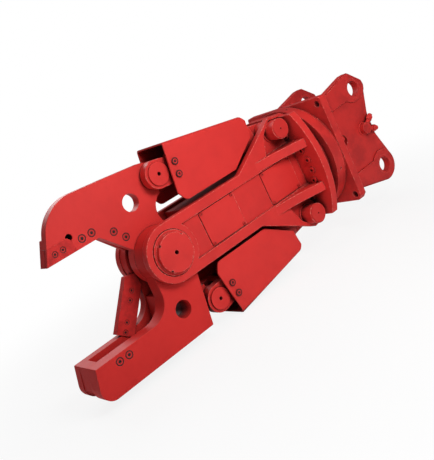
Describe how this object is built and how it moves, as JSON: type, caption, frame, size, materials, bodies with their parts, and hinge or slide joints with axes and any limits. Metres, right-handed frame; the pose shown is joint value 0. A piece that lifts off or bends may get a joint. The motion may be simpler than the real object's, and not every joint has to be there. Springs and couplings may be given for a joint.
{
  "type": "hydraulic concrete crusher",
  "caption": "Excavator-mounted concrete crusher: two hydraulically driven jaws with shear blades on a slewing body, hung from a two-ear bracket.",
  "frame": {"origin": "centre of the carrier's arm pin bore, midway between the two ears", "axes": "+X from the jaws towards the carrier, +Y along the carrier's pins and the jaw pin, +Z from the link pin side to the arm pin side, across the tool"},
  "size_m": [2.031, 0.574, 0.872],
  "materials": {
    "red paint": "glossy paint",
    "painted blades": "paint over hardened steel",
    "painted fasteners": "paint over steel",
    "bare steel": "machined",
    "dark steel": "as cast",
    "chrome rods": "hard chrome",
    "bronze": "turned"
  },
  "bodies": {
    "bracket": {"bracket_base_plate": "red paint", "ear_near": "red paint", "ear_far": "red paint", "ear_collars": "red paint", "ear_bushes": "bare steel", "bracket_cross_plate": "red paint", "slew_outer_ring": "red paint", "ring_screws": "painted fasteners", "swivel_stem": "bare steel", "slew_motor": "dark steel", "hose_port_blocks": "red paint", "hose_adapters": "red paint"},
    "pinion": {"slew_pinion": "bare steel"},
    "body": {"slew_inner_ring": "bare steel", "ring_balls": "bare steel", "neck_ring": "red paint", "end_plate": "red paint", "end_plate_bolts": "painted fasteners", "side_plate_near": "red paint", "side_plate_far": "red paint", "centre_box": "red paint", "side_covers": "red paint", "cover_screws": "painted fasteners", "swivel_housing": "dark steel", "valve_block": "bare steel", "main_pin": "bare steel", "main_pin_caps": "red paint", "rear_pins": "bare steel"},
    "upper_jaw": {"upper_jaw_plate": "red paint", "upper_jaw_tip": "painted blades", "upper_jaw_blades": "painted blades", "upper_jaw_bolts": "painted fasteners", "upper_hub_bush": "bronze", "upper_lug_bush": "bronze"},
    "lower_jaw": {"lower_cheek_near": "red paint", "lower_cheek_far": "red paint", "lower_tooth_block": "red paint", "lower_jaw_floor": "red paint", "lower_lug_plate": "red paint", "lower_jaw_blade": "painted blades", "lower_jaw_bolts": "painted fasteners", "lower_hub_bushes": "bronze", "lower_lug_bush": "bronze"},
    "upper_cylinder": {"upper_barrel": "red paint", "upper_gland": "red paint"},
    "upper_rod_group": {"upper_rod": "chrome rods", "upper_piston": "bare steel", "upper_fork": "red paint", "upper_lug_pin": "red paint", "upper_guard": "red paint", "upper_guard_bolts": "painted fasteners"},
    "lower_cylinder": {"lower_barrel": "red paint", "lower_gland": "red paint"},
    "lower_rod_group": {"lower_rod": "chrome rods", "lower_piston": "bare steel", "lower_fork": "red paint", "lower_lug_pin": "red paint", "lower_guard": "red paint", "lower_guard_bolts": "painted fasteners"}
  },
  "joints": [
    {"name": "slew", "type": "hinge", "parent": "bracket", "child": "body", "pos_m": [-0.407, 0, -0.211], "axis": [1, 0, 0], "continuous": true},
    {"name": "pinion_spin", "type": "hinge", "parent": "bracket", "child": "pinion", "pos_m": [-0.407, 0, -0.075], "axis": [1, 0, 0], "continuous": true},
    {"name": "jaw_upper", "type": "hinge", "parent": "body", "child": "upper_jaw", "pos_m": [-1.362, 0, -0.211], "axis": [0, -1, 0], "range_deg": [0, 28]},
    {"name": "jaw_lower", "type": "hinge", "parent": "body", "child": "lower_jaw", "pos_m": [-1.362, 0, -0.211], "axis": [0, 1, 0], "range_deg": [0, 28]},
    {"name": "upper_cylinder_swing", "type": "hinge", "parent": "body", "child": "upper_cylinder", "pos_m": [-0.563, 0, 0.019], "axis": [0, -1, 0], "range_deg": [-1.2, 0.2]},
    {"name": "upper_rod_stroke", "type": "slide", "parent": "upper_cylinder", "child": "upper_rod_group", "axis": [-0.9908, 0, 0.1354], "range_m": [0, 0.1692]},
    {"name": "lower_cylinder_swing", "type": "hinge", "parent": "body", "child": "lower_cylinder", "pos_m": [-0.563, 0, -0.441], "axis": [0, 1, 0], "range_deg": [-1.2, 0.2]},
    {"name": "lower_rod_stroke", "type": "slide", "parent": "lower_cylinder", "child": "lower_rod_group", "axis": [-0.9908, 0, -0.1354], "range_m": [0, 0.1692]}
  ],
  "couplings": [
    {"joint": "pinion_spin", "follows": "slew", "ratio": 3.8333},
    {"joint": "upper_cylinder_swing", "follows": "jaw_upper", "ratio": -0.0349},
    {"joint": "upper_rod_stroke", "follows": "jaw_upper", "m_per_rad": 0.3456},
    {"joint": "lower_cylinder_swing", "follows": "jaw_lower", "ratio": -0.0349},
    {"joint": "lower_rod_stroke", "follows": "jaw_lower", "m_per_rad": 0.3456}
  ]
}
